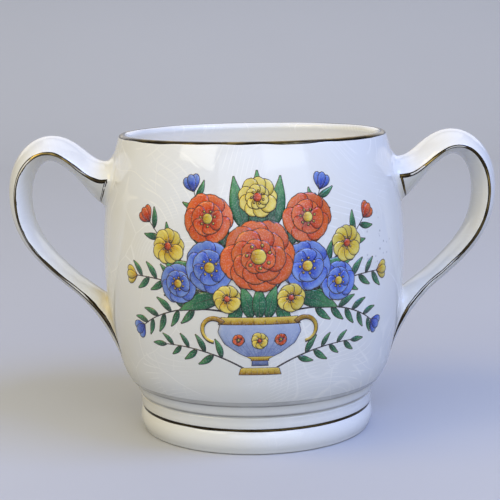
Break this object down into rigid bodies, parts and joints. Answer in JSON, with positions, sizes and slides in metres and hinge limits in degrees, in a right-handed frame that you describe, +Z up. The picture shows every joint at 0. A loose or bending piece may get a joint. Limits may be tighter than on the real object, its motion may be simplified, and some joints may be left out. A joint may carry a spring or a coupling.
{
  "type": "loving cup",
  "caption": "Barrel-shaped drinking cup on a stepped foot, with an ear-shaped strap handle on each side and gilt lines on the lip, foot and handles.",
  "frame": {"origin": "middle of the foot, on the surface that the cup stands on", "axes": "+Z up, +X through the right handle, -Y towards the decorated front"},
  "size_m": [0.137, 0.085, 0.0841],
  "materials": {
    "body_glaze": "cream-white glossy glaze with fine crazing",
    "foot_glaze": "cream-white glossy glaze, wiped off the resting ring",
    "handle_glaze": "cream-white glossy glaze",
    "gilding": "thin fired gold, darkened and worn in places"
  },
  "bodies": {
    "root": {"cup_body": "body_glaze", "foot": "foot_glaze", "left_handle": "handle_glaze", "right_handle": "handle_glaze", "rim_gilding": "gilding", "foot_gilding": "gilding", "left_handle_front_gilding": "gilding", "left_handle_back_gilding": "gilding", "right_handle_front_gilding": "gilding", "right_handle_back_gilding": "gilding"}
  },
  "joints": []
}
